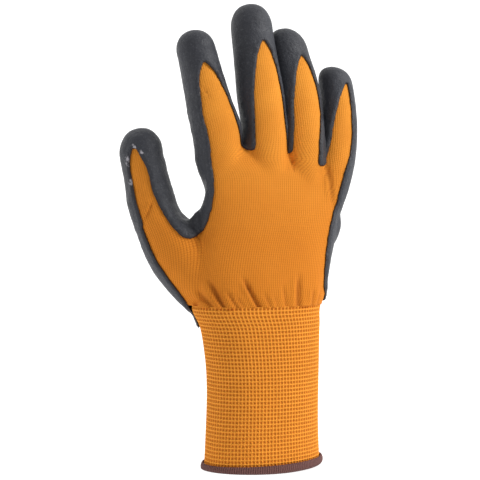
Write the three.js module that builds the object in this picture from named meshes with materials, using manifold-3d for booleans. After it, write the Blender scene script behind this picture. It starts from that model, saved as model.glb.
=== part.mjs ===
// A knitted gardening glove for the right hand, dipped in latex on its palm and fingertips.
// It keeps the form of a hand, and it is hollow from the mouth of the cuff to the fingertips.
// Millimetres. The origin is the middle of the cuff's mouth and +Z runs up the wrist to the fingertips.
// The back of the hand faces -Y, the palm faces +Y and the thumb is on the -X side.
import * as THREE from "three";
import { mergeVertices } from "three/addons/utils/BufferGeometryUtils.js";
import Module from "manifold-3d";

const wasm = await Module();
wasm.setup();

// Driving dimensions of the cuff, palm and walls.
const cuffLength = 82;
const cuffWidth = 59.5;
const cuffDepth = 44;
const palmLength = 75;
const palmWidth = 76;
const palmDepth = 29;
const fingerLength = 107;
const fingerWidth = 20;
const knitWall = 1.3;
const coatWall = 0.9;
const coatOverlap = 12;
const webBand = 9;
const pieceGap = 0.3;
const hemHeight = 4.2;
const hemWall = 0.9;
const hemStraight = 1.5;
const hemRounding = 0.25;
const gatherDepth = 0.9;
const gatherCount = 10;

// Smoothness of the mesh: each gather takes four sides of the palm.
const trunkSides = 4 * gatherCount;
const digitSides = 14;
const windowSides = 10;
const domeSteps = 3;
const meshTolerance = 0.015;

// How far a cutter runs past the face that it cuts, a bare stripe's cutter past the middle of its digit,
// and the room that parts a digit from the palm past the digit's own surface.
const cutPast = 6;
const stripePast = 1;
const joinPast = 0.1;

// The cuff from its mouth to its top, as shares of the cuff's length, width and depth.
// drop is how much lower the little finger's side of a section lies, as a share of the width.
const cuffRows = [
  { up: 0.0, wide: 1.0, deep: 1.02, across: 0.0, forward: 0.0, drop: -0.022 },
  { up: 0.14, wide: 0.98, deep: 1.0, across: 0.0, forward: 0.0, drop: -0.012 },
  { up: 0.7, wide: 0.985, deep: 0.96, across: -0.005, forward: 0.0, drop: 0.0 },
  { up: 0.87, wide: 1.03, deep: 0.93, across: -0.03, forward: 0.0, drop: 0.0 },
  { up: 1.0, wide: 1.12, deep: 0.9, across: -0.06, forward: 0.01, drop: 0.0 },
];

// The palm from the cuff's top to the webs of the fingers, as shares of the palm's length, width and depth.
// turn is in degrees about +Z. drop is the same as in the cuff, here as a share of the palm's length.
const palmRows = [
  { up: 0.05, wide: 0.88, deep: 1.28, across: -0.02, forward: 0.03, turn: 0, drop: 0.0, gather: 1.0 },
  { up: 0.17, wide: 0.92, deep: 1.2, across: -0.015, forward: 0.08, turn: 1, drop: 0.0, gather: 0.6 },
  { up: 0.34, wide: 0.93, deep: 1.08, across: 0.02, forward: 0.13, turn: 3, drop: 0.0, gather: 0.2 },
  { up: 0.56, wide: 0.93, deep: 0.92, across: 0.07, forward: 0.18, turn: 6, drop: 0.0, gather: 0.0 },
  { up: 0.76, wide: 0.96, deep: 0.74, across: 0.1, forward: 0.24, turn: 8, drop: 0.03, gather: 0.0 },
  { up: 0.9, wide: 0.97, deep: 0.58, across: 0.11, forward: 0.32, turn: 8, drop: 0.06, gather: 0.0 },
  { up: 0.97, wide: 0.9, deep: 0.38, across: 0.11, forward: 0.4, turn: 8, drop: 0.06, gather: 0.0 },
];

// How the palm closes over the fingers' roots, as shares of its depth and of its last section.
const crown = { rise: 0.1, wide: 0.9, deep: 0.5 };

// Roundness of a section: 2 is an ellipse, and more is squarer.
const ellipse = 2;
const palmSquareness = 2.2;
const digitSquareness = 2.1;
const backStripeSquareness = 3;
const webStripeSquareness = 4;

// A fingertip's dome: 1 is round, and less is blunter. Its last ring is tipFlat of a step short of its end.
const tipBluntness = 0.8;
const tipFlat = 0.35;

// A finger from its buried root to where its tip begins: shares of its rise, reach, curl, width and depth.
const fingerRows = [
  { rise: 0.0, reach: 0.0, curl: 0.0, wide: 0.8, deep: 0.8 },
  { rise: 0.2, reach: 0.19, curl: 0.08, wide: 0.98, deep: 0.94 },
  { rise: 0.38, reach: 0.37, curl: 0.18, wide: 1.05, deep: 1.04 },
  { rise: 0.57, reach: 0.58, curl: 0.38, wide: 1.02, deep: 1.0 },
  { rise: 0.75, reach: 0.77, curl: 0.65, wide: 0.95, deep: 0.93 },
  { rise: 0.9, reach: 0.91, curl: 0.88, wide: 0.9, deep: 0.86 },
];

// The thumb and the ball of the thumb, from inside the heel of the hand to where the tip begins.
const thumbRows = [
  { rise: 0.0, reach: 0.0, curl: 0.0, wide: 1.0, deep: 0.9 },
  { rise: 0.2, reach: 0.33, curl: 0.25, wide: 1.58, deep: 1.36 },
  { rise: 0.35, reach: 0.57, curl: 0.45, wide: 1.52, deep: 1.3 },
  { rise: 0.5, reach: 0.77, curl: 0.66, wide: 1.2, deep: 1.12 },
  { rise: 0.62, reach: 0.87, curl: 0.79, wide: 1.1, deep: 1.04 },
  { rise: 0.74, reach: 0.93, curl: 0.88, wide: 1.02, deep: 0.98 },
  { rise: 0.87, reach: 0.98, curl: 0.96, wide: 0.98, deep: 0.92 },
];

// The bare stripe on the back of a finger: its half width as a share of the finger's, up to its pointed end.
const fingerStripe = [
  { rise: 0.05, wide: 1.0 },
  { rise: 0.3, wide: 0.98 },
  { rise: 0.45, wide: 0.88 },
  { rise: 0.58, wide: 0.78 },
  { rise: 0.68, wide: 0.6 },
  { rise: 0.76, wide: 0.38 },
  { rise: 0.82, wide: 0.06 },
];
const thumbStripe = [
  { rise: 0.05, wide: 0.6 },
  { rise: 0.12, wide: 0.7 },
  { rise: 0.2, wide: 0.84 },
  { rise: 0.32, wide: 1.0 },
  { rise: 0.45, wide: 0.74 },
  { rise: 0.65, wide: 0.5 },
  { rise: 0.78, wide: 0.4 },
  { rise: 0.89, wide: 0.06 },
];

// Each digit's root as shares of the palm's width, depth and length. Its rise, reach and curl from root to
// tip, and its middle's bow sideways, are shares of the fingers' length. Its width and depth are shares of
// the fingers' width, and roll turns it about its own axis, in degrees. Its bare stripe leans sideways at
// the root by a share of its width, and bare stretches the stripe's table. The digit is knitted on to the
// palm at the share of its rise called join.
const digits = [
  {
    name: "index", across: -0.205, forward: 0.12, up: 0.56,
    rise: 0.87, reach: -0.158, curl: 0.12, bow: 0.004,
    width: 1.0, depth: 0.925, roll: -5, lean: 0.13, bare: 1,
    join: 0.42, rows: fingerRows, stripe: fingerStripe,
  },
  {
    name: "middle", across: 0.053, forward: 0.12, up: 0.56,
    rise: 1.0, reach: -0.052, curl: 0.13, bow: 0.005,
    width: 1.03, depth: 0.95, roll: 3, lean: 0.03, bare: 1,
    join: 0.37, rows: fingerRows, stripe: fingerStripe,
  },
  {
    name: "ring", across: 0.298, forward: 0.26, up: 0.55,
    rise: 0.888, reach: -0.043, curl: 0.14, bow: 0.031,
    width: 0.98, depth: 0.9, roll: 12, lean: 0, bare: 1.04,
    join: 0.42, rows: fingerRows, stripe: fingerStripe,
  },
  {
    name: "little", across: 0.385, forward: 0.38, up: 0.46,
    rise: 0.776, reach: 0.148, curl: 0.12, bow: 0.055,
    width: 0.92, depth: 0.8, roll: 28, lean: -0.1, bare: 1.1,
    join: 0.46, rows: fingerRows, stripe: fingerStripe,
  },
  {
    name: "thumb", across: -0.25, forward: 0.2, up: -0.06,
    rise: 0.85, reach: -0.355, curl: 0.196, bow: 0,
    width: 0.99, depth: 0.95, roll: -37, lean: 0.1, bare: 1,
    join: 0.46, rows: thumbRows, stripe: thumbStripe,
  },
].map((digit) => ({
  ...digit,
  rise: digit.rise * fingerLength,
  reach: digit.reach * fingerLength,
  curl: digit.curl * fingerLength,
  bow: digit.bow * fingerLength,
  width: digit.width * fingerWidth,
  depth: digit.depth * fingerWidth,
}));

// The web between the thumb and the first finger, from the palm to the thumb, as shares of the palm's sizes.
const webRows = [
  { across: -0.26, forward: 0.2, up: 0.34, tall: 0.26, deep: 0.3 },
  { across: -0.39, forward: 0.32, up: 0.36, tall: 0.26, deep: 0.28 },
  { across: -0.46, forward: 0.42, up: 0.37, tall: 0.195, deep: 0.26 },
  { across: -0.53, forward: 0.52, up: 0.38, tall: 0.165, deep: 0.26 },
  { across: -0.62, forward: 0.66, up: 0.44, tall: 0.15, deep: 0.26 },
];

// The pad under the little finger's side of the palm, from the heel upwards.
const padRows = [
  { up: 0.12, across: 0.26, forward: 0.36, wide: 0.16, deep: 0.3 },
  { up: 0.3, across: 0.335, forward: 0.42, wide: 0.24, deep: 0.46 },
  { up: 0.5, across: 0.42, forward: 0.46, wide: 0.28, deep: 0.5 },
  { up: 0.7, across: 0.42, forward: 0.5, wide: 0.22, deep: 0.44 },
  { up: 0.84, across: 0.42, forward: 0.5, wide: 0.14, deep: 0.28 },
];

// The bare back of the hand, from below the coating up to the knuckles: its half width as a share of the
// palm's, and how far its middle lies across, as a share of the palm's width.
const backStripe = [
  { up: -0.4, wide: 1.34, across: 0.0 },
  { up: -0.2, wide: 1.2, across: 0.01 },
  { up: 0.0, wide: 1.12, across: 0.01 },
  { up: 0.3, wide: 0.98, across: -0.005 },
  { up: 0.5, wide: 0.98, across: -0.04 },
  { up: 0.62, wide: 0.95, across: -0.036 },
  { up: 0.75, wide: 0.86, across: -0.005 },
  { up: 0.95, wide: 0.88, across: 0.04 },
];

// A closed ring of points round a centre: side and front are its half axes as unit vectors.
function ringOf(centre, side, front, halfWide, halfDeep, sides, squareness, swell) {
  const points = [];
  for (let i = 0; i < sides; i++) {
    const angle = (2 * Math.PI * i) / sides;
    const c = Math.cos(angle);
    const s = Math.sin(angle);
    const extra = swell ? swell(angle) : 0;
    const across = Math.sign(c) * Math.abs(c) ** (2 / squareness) * (halfWide + extra);
    const along = Math.sign(s) * Math.abs(s) ** (2 / squareness) * (halfDeep + extra);
    points.push(centre.clone().addScaledVector(side, across).addScaledVector(front, along));
  }
  return points;
}

// A closed solid through a list of rings, with a flat cap on each end.
function loft(rings) {
  const sides = rings[0].length;
  const positions = rings.flat().flatMap((p) => p.toArray());
  const indices = [];
  for (let r = 0; r < rings.length - 1; r++) {
    for (let i = 0; i < sides; i++) {
      const a = r * sides + i;
      const b = r * sides + ((i + 1) % sides);
      indices.push(a, b, b + sides, a, b + sides, a + sides);
    }
  }
  for (const [ring, flip] of [[rings[0], true], [rings.at(-1), false]]) {
    const middle = positions.length / 3;
    const first = flip ? 0 : (rings.length - 1) * sides;
    const centre = ring.reduce((sum, p) => sum.add(p), new THREE.Vector3()).divideScalar(sides);
    positions.push(...centre.toArray());
    for (let i = 0; i < sides; i++) {
      const a = first + i;
      const b = first + ((i + 1) % sides);
      indices.push(middle, flip ? b : a, flip ? a : b);
    }
  }
  return solidFrom(positions, indices);
}

// A manifold solid from plain lists of positions and indices.
function solidFrom(positions, indices) {
  const raw = new THREE.BufferGeometry();
  raw.setAttribute("position", new THREE.Float32BufferAttribute(positions, 3));
  raw.setIndex(indices);
  const merged = mergeVertices(raw, 1e-4);
  return new wasm.Manifold(
    new wasm.Mesh({
      numProp: 3,
      vertProperties: merged.attributes.position.array,
      triVerts: new Uint32Array(merged.index.array),
    }),
  );
}

const unite = (solids) => solids.reduce((sum, solid) => sum.add(solid));

// The cuff's and palm's sections as plain sizes in millimetres, from the mouth upwards.
function trunkSections() {
  const mouth = cuffRows[0];
  const straightHem = { ...mouth, up: (hemStraight * hemHeight) / cuffLength };
  const cuff = [mouth, straightHem, ...cuffRows.slice(1)].map((row) => ({
    x: row.across * cuffWidth,
    y: row.forward * cuffDepth,
    z: row.up * cuffLength,
    halfWide: (row.wide * cuffWidth) / 2,
    halfDeep: (row.deep * cuffDepth) / 2,
    turn: 0,
    drop: row.drop * cuffWidth,
    gather: row.up === 1 ? 0.5 : 0,
    squareness: ellipse,
  }));
  const palm = palmRows.map((row) => ({
    x: row.across * palmWidth,
    y: row.forward * (palmDepth / 2),
    z: cuffLength + row.up * palmLength,
    halfWide: (row.wide * palmWidth) / 2,
    halfDeep: (row.deep * palmDepth) / 2,
    turn: THREE.MathUtils.degToRad(row.turn),
    drop: row.drop * palmLength,
    gather: row.gather,
    squareness: palmSquareness,
  }));
  return [...cuff, ...palm];
}

const mouthSection = trunkSections()[0];

// One ring of the cuff or palm, grown outwards by a distance.
function trunkRing(section, grow) {
  const side = new THREE.Vector3(Math.cos(section.turn), Math.sin(section.turn), 0);
  const front = new THREE.Vector3(-side.y, side.x, 0);
  const centre = new THREE.Vector3(section.x, section.y, section.z);
  const pleat = (angle) => section.gather * gatherDepth * Math.cos(gatherCount * angle);
  const halfWide = section.halfWide + grow;
  const halfDeep = section.halfDeep + grow;
  const ring = ringOf(centre, side, front, halfWide, halfDeep, trunkSides, section.squareness, pleat);
  for (const point of ring) {
    point.z -= (section.drop * point.clone().sub(centre).dot(side)) / section.halfWide;
  }
  return ring;
}

// The cuff and palm as one closed form. lower moves its open end down, so that a cut runs through the mouth.
function trunk(grow, lower) {
  const sections = trunkSections();
  const rings = sections.map((section) => trunkRing(section, grow));
  if (lower > 0) {
    rings.unshift(trunkRing({ ...sections[0], z: sections[0].z - lower }, grow));
  }
  const top = sections.at(-1);
  const close = {
    ...top,
    z: top.z + crown.rise * palmDepth + grow,
    halfWide: crown.wide * top.halfWide,
    halfDeep: crown.deep * top.halfDeep,
  };
  rings.push(trunkRing(close, grow));
  return loft(rings);
}

// Where a digit starts, inside the palm.
function rootOf(digit) {
  return new THREE.Vector3(
    digit.across * palmWidth,
    digit.forward * (palmDepth / 2),
    cuffLength + digit.up * palmLength,
  );
}

// The line that runs up the middle of a digit, from its root to its tip.
function spineOf(digit) {
  const root = rootOf(digit);
  const at = (row) => {
    const aside = digit.reach * row.reach + digit.bow * Math.sin(Math.PI * row.rise);
    return new THREE.Vector3(aside, digit.curl * row.curl, digit.rise * row.rise).add(root);
  };
  const end = { rise: 1, reach: 1, curl: 1 };
  return [...digit.rows, end].map(at);
}

// The side and front directions of a section of a digit, square to its spine.
function axesAt(spine, index, roll) {
  const before = spine[Math.max(index - 1, 0)];
  const after = spine[Math.min(index + 1, spine.length - 1)];
  const along = after.clone().sub(before).normalize();
  const turn = THREE.MathUtils.degToRad(roll);
  const flat = new THREE.Vector3(Math.cos(turn), Math.sin(turn), 0);
  const side = flat.addScaledVector(along, -flat.dot(along)).normalize();
  const front = new THREE.Vector3().crossVectors(along, side);
  return { along, side, front };
}

// The point of a digit's spine at a share of its rise, and the number of the section nearest to it.
function spinePoint(digit, rise) {
  const spine = spineOf(digit);
  const shares = [...digit.rows.map((row) => row.rise), 1];
  const next = shares.findIndex((share) => share > rise);
  const step = next - 1 + (rise - shares[next - 1]) / (shares[next] - shares[next - 1]);
  const point = new THREE.CatmullRomCurve3(spine).getPoint(step / (spine.length - 1));
  return { point, step: Math.round(step) };
}

// A finger or the thumb as a closed form with a round tip.
function digitForm(digit, grow) {
  const spine = spineOf(digit);
  const rings = digit.rows.map((row, i) => {
    const { side, front } = axesAt(spine, i, digit.roll);
    const halfWide = (row.wide * digit.width) / 2 + grow;
    const halfDeep = (row.deep * digit.depth) / 2 + grow;
    return ringOf(spine[i], side, front, halfWide, halfDeep, digitSides, digitSquareness);
  });
  const last = digit.rows.length - 1;
  const { side, front } = axesAt(spine, last, digit.roll);
  const tip = spine[last + 1].clone().sub(spine[last]);
  const reach = tip.length() + grow;
  const along = tip.normalize();
  for (let step = 1; step <= domeSteps; step++) {
    const angle = ((step / (domeSteps + tipFlat)) * Math.PI) / 2;
    const centre = spine[last].clone().addScaledVector(along, reach * Math.sin(angle));
    const shrink = Math.cos(angle) ** tipBluntness;
    const halfWide = ((digit.rows[last].wide * digit.width) / 2 + grow) * shrink;
    const halfDeep = ((digit.rows[last].deep * digit.depth) / 2 + grow) * shrink;
    rings.push(ringOf(centre, side, front, halfWide, halfDeep, digitSides, digitSquareness));
  }
  return loft(rings);
}

// The web of the thumb, lofted sideways from the palm to the thumb.
function webForm(grow) {
  const up = new THREE.Vector3(0, 0, 1);
  const rings = webRows.map((row) => {
    const centre = new THREE.Vector3(
      row.across * palmWidth,
      row.forward * (palmDepth / 2),
      cuffLength + row.up * palmLength,
    );
    const front = new THREE.Vector3(0, 1, 0);
    const halfDeep = (row.deep * palmDepth) / 2 + grow;
    return ringOf(centre, front, up, halfDeep, row.tall * palmLength + grow, windowSides, ellipse);
  });
  return loft(rings.reverse());
}

// The pad of the palm below the little finger.
function padForm(grow) {
  const side = new THREE.Vector3(1, 0, 0);
  const front = new THREE.Vector3(0, 1, 0);
  const rings = padRows.map((row) => {
    const centre = new THREE.Vector3(
      row.across * palmWidth,
      row.forward * (palmDepth / 2),
      cuffLength + row.up * palmLength,
    );
    const halfWide = (row.wide * palmWidth) / 2 + grow;
    const halfDeep = (row.deep * palmDepth) / 2 + grow;
    return ringOf(centre, side, front, halfWide, halfDeep, digitSides, ellipse);
  });
  return loft(rings);
}

// The whole glove as a closed form, grown by a distance: a negative one gives the space inside.
function gloveForm(grow, lower = 0) {
  const digitForms = digits.map((digit) => digitForm(digit, grow));
  return unite([trunk(grow, lower), webForm(grow), padForm(grow), ...digitForms]);
}

// A block that spans the glove sideways, between two heights.
function slab(low, high) {
  const size = 4 * (palmWidth + palmLength);
  const box = new THREE.BoxGeometry(size, size, high - low);
  box.translate(0, 0, (low + high) / 2);
  box.deleteAttribute("normal");
  box.deleteAttribute("uv");
  return solidFrom([...box.attributes.position.array], [...box.index.array]);
}

// The room round a digit above the line where it is knitted on to the palm. lower moves that line down.
function digitRoom(digit, grow, lower) {
  const spine = spineOf(digit);
  const { point, step } = spinePoint(digit, digit.join);
  const { along, side, front } = axesAt(spine, step, digit.roll);
  const size = 2 * fingerLength;
  const corners = (distance) => {
    const centre = point.clone().addScaledVector(along, distance);
    return ringOf(centre, side, front, size, size, 4, ellipse);
  };
  const above = loft([corners(-lower), corners(size)]);
  return digitForm(digit, grow).intersect(above);
}

// The room over a digit's back that the coating leaves bare.
function digitStripe(digit) {
  const spine = spineOf(digit);
  const rings = digit.stripe.map((row) => {
    const rise = row.rise * digit.bare;
    const { point, step } = spinePoint(digit, rise);
    const { side, front } = axesAt(spine, step, digit.roll);
    const centre = point.clone().addScaledVector(front, -digit.depth / 2);
    centre.addScaledVector(side, digit.lean * digit.width * (1 - rise));
    const halfDeep = digit.depth / 2 + stripePast;
    return ringOf(centre, side, front, (row.wide * digit.width) / 2, halfDeep, windowSides, ellipse);
  });
  return loft(rings);
}

// The room over the back of the thumb's web that the coating leaves bare, up to a band along the web's edge.
function webStripe() {
  const up = new THREE.Vector3(0, 0, 1);
  const front = new THREE.Vector3(0, 1, 0);
  const rings = webRows.map((row) => {
    const high = (row.up + row.tall) * palmLength - webBand;
    const centre = new THREE.Vector3(
      row.across * palmWidth,
      row.forward * (palmDepth / 2) - palmDepth,
      cuffLength + high / 2,
    );
    return ringOf(centre, front, up, palmDepth, high / 2, windowSides, webStripeSquareness);
  });
  return loft(rings.reverse());
}

// The room over the back of the hand that the coating leaves bare.
function handStripe() {
  const sections = trunkSections();
  const rings = backStripe.map((row) => {
    const z = cuffLength + row.up * palmLength;
    const above = Math.max(sections.findIndex((section) => section.z > z), 1);
    const upper = sections[above];
    const lowerOne = sections[above - 1];
    const share = (z - lowerOne.z) / (upper.z - lowerOne.z);
    const mix = (key) => THREE.MathUtils.lerp(lowerOne[key], upper[key], share);
    const side = new THREE.Vector3(Math.cos(mix("turn")), Math.sin(mix("turn")), 0);
    const front = new THREE.Vector3(-side.y, side.x, 0);
    const centre = new THREE.Vector3(mix("x"), mix("y"), z).addScaledVector(front, -mix("halfDeep"));
    centre.addScaledVector(side, row.across * palmWidth);
    const halfWide = row.wide * mix("halfWide");
    const halfDeep = mix("halfDeep") + stripePast;
    return ringOf(centre, side, front, halfWide, halfDeep, trunkSides / 2, backStripeSquareness);
  });
  return loft(rings);
}

// The hem's thread cover: a channel round the cuff's raw edge, from a closed profile of offsets and heights.
function hemForm() {
  const out = pieceGap + hemWall;
  const inside = -knitWall - pieceGap;
  const profile = [
    [out, hemRounding * hemHeight],
    [out, hemHeight],
    [pieceGap, hemHeight],
    [pieceGap, hemWall],
    [inside, hemWall],
    [inside, hemHeight],
    [inside - hemWall, hemHeight],
    [inside - hemWall, 0],
    [pieceGap, 0],
  ];
  const loops = profile.map(([offset, z]) => trunkRing({ ...mouthSection, z }, offset));
  const positions = loops.flat().flatMap((p) => p.toArray());
  const indices = [];
  for (let j = 0; j < loops.length; j++) {
    const next = (j + 1) % loops.length;
    for (let i = 0; i < trunkSides; i++) {
      const k = (i + 1) % trunkSides;
      const a = j * trunkSides + i;
      const b = j * trunkSides + k;
      const c = next * trunkSides + k;
      const d = next * trunkSides + i;
      indices.push(a, b, c, a, c, d);
    }
  }
  return solidFrom(positions, indices);
}

// A named mesh of a solid in its material.
function piece(name, solid, material) {
  const { vertProperties, triVerts } = solid.asOriginal().simplify(meshTolerance).getMesh();
  const geometry = new THREE.BufferGeometry();
  geometry.setAttribute("position", new THREE.BufferAttribute(new Float32Array(vertProperties), 3));
  geometry.setIndex(new THREE.BufferAttribute(new Uint32Array(triVerts), 1));
  geometry.computeVertexNormals();
  const mesh = new THREE.Mesh(geometry, material);
  mesh.name = name;
  return mesh;
}

const orangeKnit = new THREE.MeshStandardMaterial({ color: 0xe8892a, roughness: 0.85, metalness: 0 });
const orangeRib = new THREE.MeshStandardMaterial({ color: 0xe08428, roughness: 0.9, metalness: 0 });
const darkLatex = new THREE.MeshStandardMaterial({ color: 0x3d4046, roughness: 0.6, metalness: 0 });
const brownThread = new THREE.MeshStandardMaterial({ color: 0x5e3a30, roughness: 0.8, metalness: 0 });

const tall = cuffLength + 3 * palmLength;
const cuffTop = cuffLength - pieceGap / 2;
const handBottom = cuffLength + pieceGap / 2;
const cuffBottom = hemWall + pieceGap;
const shell = gloveForm(0).subtract(gloveForm(-knitWall, cutPast));
const knitHand = shell.intersect(slab(handBottom, tall));
const knitDigits = digits.map((digit) => knitHand.intersect(digitRoom(digit, joinPast, -pieceGap / 2)));
const knitPalm = digits.reduce(
  (rest, digit) => rest.subtract(digitRoom(digit, joinPast + pieceGap, pieceGap / 2)),
  knitHand,
);
const belowCuff = loft([-cuffLength, cuffBottom].map((z) => trunkRing({ ...mouthSection, z }, cutPast)));
const ribCuff = shell.intersect(slab(-cuffLength, cuffTop)).subtract(belowCuff);
const bareBack = unite([handStripe(), webStripe(), ...digits.map(digitStripe)]);
const coating = gloveForm(pieceGap + coatWall)
  .subtract(gloveForm(pieceGap, cutPast))
  .subtract(bareBack)
  .intersect(slab(cuffLength - coatOverlap, tall));

const glove = new THREE.Group();
glove.add(piece("knit_palm", knitPalm, orangeKnit));
knitDigits.forEach((solid, i) => glove.add(piece(`knit_${digits[i].name}`, solid, orangeKnit)));
glove.add(piece("rib_cuff", ribCuff, orangeRib));
glove.add(piece("palm_coating", coating, darkLatex));
glove.add(piece("hem_overlock", hemForm(), brownThread));

export default glove;
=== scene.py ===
import math

import bmesh
import bpy
import numpy as np
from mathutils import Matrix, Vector, noise


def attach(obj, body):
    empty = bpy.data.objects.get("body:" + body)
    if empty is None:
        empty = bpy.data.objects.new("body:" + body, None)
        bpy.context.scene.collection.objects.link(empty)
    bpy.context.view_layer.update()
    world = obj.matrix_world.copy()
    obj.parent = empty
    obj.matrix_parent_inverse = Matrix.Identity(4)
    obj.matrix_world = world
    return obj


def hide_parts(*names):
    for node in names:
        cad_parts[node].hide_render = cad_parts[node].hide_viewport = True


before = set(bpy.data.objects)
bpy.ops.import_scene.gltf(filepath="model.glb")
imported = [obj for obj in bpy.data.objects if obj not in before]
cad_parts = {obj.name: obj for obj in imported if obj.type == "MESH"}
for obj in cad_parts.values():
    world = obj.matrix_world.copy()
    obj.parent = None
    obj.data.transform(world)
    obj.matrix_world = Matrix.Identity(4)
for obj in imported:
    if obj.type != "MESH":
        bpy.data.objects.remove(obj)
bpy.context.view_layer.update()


# The knitted hand. The real one is a single fine nylon knit, made in the round from the fingertips down to
# the wrist with no seams. It is stretched smooth over the hand's form and gathers where the rib grips it.
cuff_length = 0.082
cuff_width = 0.0595
cuff_depth = 0.044
palm_length = 0.075
palm_width = 0.076
palm_depth = 0.029
finger_length = 0.107
finger_width = 0.02
knit_wall = 0.0013
# The back is seen from a little towards the thumb: how far across and forward that view's right side points.
back_view = (0.951, -0.309)

# The cuff's and the palm's sections: height, width, depth, place across and forward, and drop, as shares.
cuff_rows = np.array([
    (0.0, 1.0, 1.02, 0.0, 0.0, -0.022),
    (0.14, 0.98, 1.0, 0.0, 0.0, -0.012),
    (0.7, 0.99, 0.96, 0.0, 0.0, 0.0),
    (0.87, 1.04, 0.93, -0.018, 0.0, 0.0),
    (1.0, 1.12, 0.9, -0.04, 0.01, 0.0),
])
# The palm's rows also have a turn in degrees, before the drop.
palm_rows = np.array([
    (0.05, 0.88, 1.28, -0.005, 0.03, 0, 0.0),
    (0.17, 0.92, 1.2, -0.003, 0.08, 1, 0.0),
    (0.34, 0.93, 1.08, 0.02, 0.13, 3, 0.0),
    (0.56, 0.93, 0.92, 0.07, 0.18, 6, 0.0),
    (0.76, 0.96, 0.74, 0.1, 0.24, 8, 0.03),
    (0.9, 0.97, 0.58, 0.11, 0.32, 8, 0.06),
    (0.97, 0.9, 0.38, 0.11, 0.4, 8, 0.06),
])
palm_squareness = 2.2
digit_squareness = 2.1

# A finger's and the thumb's sections: rise, reach, curl, width and depth, as shares of the digit's own.
finger_rows = np.array([
    (0.0, 0.0, 0.0, 0.8, 0.8),
    (0.2, 0.19, 0.08, 0.98, 0.94),
    (0.38, 0.37, 0.18, 1.05, 1.04),
    (0.57, 0.58, 0.38, 1.02, 1.0),
    (0.75, 0.77, 0.65, 0.95, 0.93),
    (0.9, 0.91, 0.88, 0.9, 0.86),
    (1.0, 1.0, 1.0, 0.9, 0.86),
])
thumb_rows = np.array([
    (0.0, 0.0, 0.0, 1.0, 0.9),
    (0.2, 0.33, 0.25, 1.58, 1.36),
    (0.35, 0.57, 0.45, 1.52, 1.3),
    (0.5, 0.77, 0.66, 1.2, 1.12),
    (0.62, 0.87, 0.79, 1.1, 1.04),
    (0.74, 0.93, 0.88, 1.02, 0.98),
    (0.87, 0.98, 0.96, 0.98, 0.92),
    (1.0, 1.0, 1.0, 0.98, 0.92),
])
# Each digit: its root across, forward and up; its rise, reach, curl and bow; its width, depth and roll.
digits = {
    "index": dict(root=(-0.205, 0.12, 0.56), path=(0.87, -0.158, 0.12, 0.004), size=(1.0, 0.925), roll=-5),
    "middle": dict(root=(0.053, 0.12, 0.56), path=(1.0, -0.052, 0.13, 0.005), size=(1.03, 0.95), roll=3),
    "ring": dict(root=(0.298, 0.26, 0.55), path=(0.888, -0.043, 0.14, 0.031), size=(0.98, 0.9), roll=12),
    "little": dict(root=(0.385, 0.38, 0.46), path=(0.776, 0.148, 0.12, 0.055), size=(0.92, 0.8), roll=28),
    "thumb": dict(root=(-0.25, 0.2, -0.06), path=(0.85, -0.355, 0.196, 0.0), size=(0.99, 0.95), roll=-37),
}
# The thumb's web and the palm's pad below the little finger: across, forward, up, height or width, and depth.
web_rows = np.array([
    (-0.26, 0.2, 0.34, 0.26, 0.3),
    (-0.39, 0.32, 0.36, 0.26, 0.28),
    (-0.46, 0.42, 0.37, 0.195, 0.26),
    (-0.53, 0.52, 0.38, 0.165, 0.26),
    (-0.62, 0.66, 0.44, 0.15, 0.26),
])
pad_rows = np.array([
    (0.26, 0.36, 0.12, 0.16, 0.3),
    (0.335, 0.42, 0.3, 0.24, 0.46),
    (0.42, 0.46, 0.5, 0.28, 0.5),
    (0.42, 0.5, 0.7, 0.22, 0.44),
    (0.42, 0.5, 0.84, 0.14, 0.28),
])


def through(stops, values, at):
    """Values on a smooth curve through a table's rows."""
    slopes = np.gradient(values, stops, axis=0)
    at = np.clip(np.asarray(at, float), stops[0], stops[-1])
    low = np.clip(np.searchsorted(stops, at, side="right") - 1, 0, len(stops) - 2)
    span = (stops[low + 1] - stops[low])[..., None]
    t = (at - stops[low])[..., None] / span
    start = (1 + 2 * t) * (1 - t) ** 2 * values[low] + t * (1 - t) ** 2 * span * slopes[low]
    end = t * t * (3 - 2 * t) * values[low + 1] + t * t * (t - 1) * span * slopes[low + 1]
    return start + end


def ease(low, high, value):
    """0 below low, 1 above high, and a smooth step between them."""
    t = np.clip((value - low) / (high - low), 0, 1)
    return t * t * (3 - 2 * t)


def trunk_table():
    """The cuff's and palm's sections in metres: height, x, y, half width, half depth, turn and drop."""
    cuff = [
        (up * cuff_length, across * cuff_width, forward * cuff_depth, wide * cuff_width / 2,
         deep * cuff_depth / 2, 0, drop * cuff_width)
        for up, wide, deep, across, forward, drop in cuff_rows
    ]
    palm = [
        (cuff_length + up * palm_length, across * palm_width, forward * palm_depth / 2, wide * palm_width / 2,
         deep * palm_depth / 2, math.radians(turn), drop * palm_length)
        for up, wide, deep, across, forward, turn, drop in palm_rows
    ]
    return np.array(cuff + palm)


trunk = trunk_table()


def trunk_at(height):
    """x, y, half width, half depth, turn and drop of the cuff and palm at a height."""
    return through(trunk[:, 0], trunk[:, 1:], height)


def ring(centre, side, front, half_wide, half_deep, sides, squareness):
    """The points of a rounded section, in order round it."""
    angle = 2 * np.pi * np.arange(sides) / sides
    across = np.sign(np.cos(angle)) * np.abs(np.cos(angle)) ** (2 / squareness) * half_wide
    along = np.sign(np.sin(angle)) * np.abs(np.sin(angle)) ** (2 / squareness) * half_deep
    return centre + across[:, None] * side + along[:, None] * front


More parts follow.
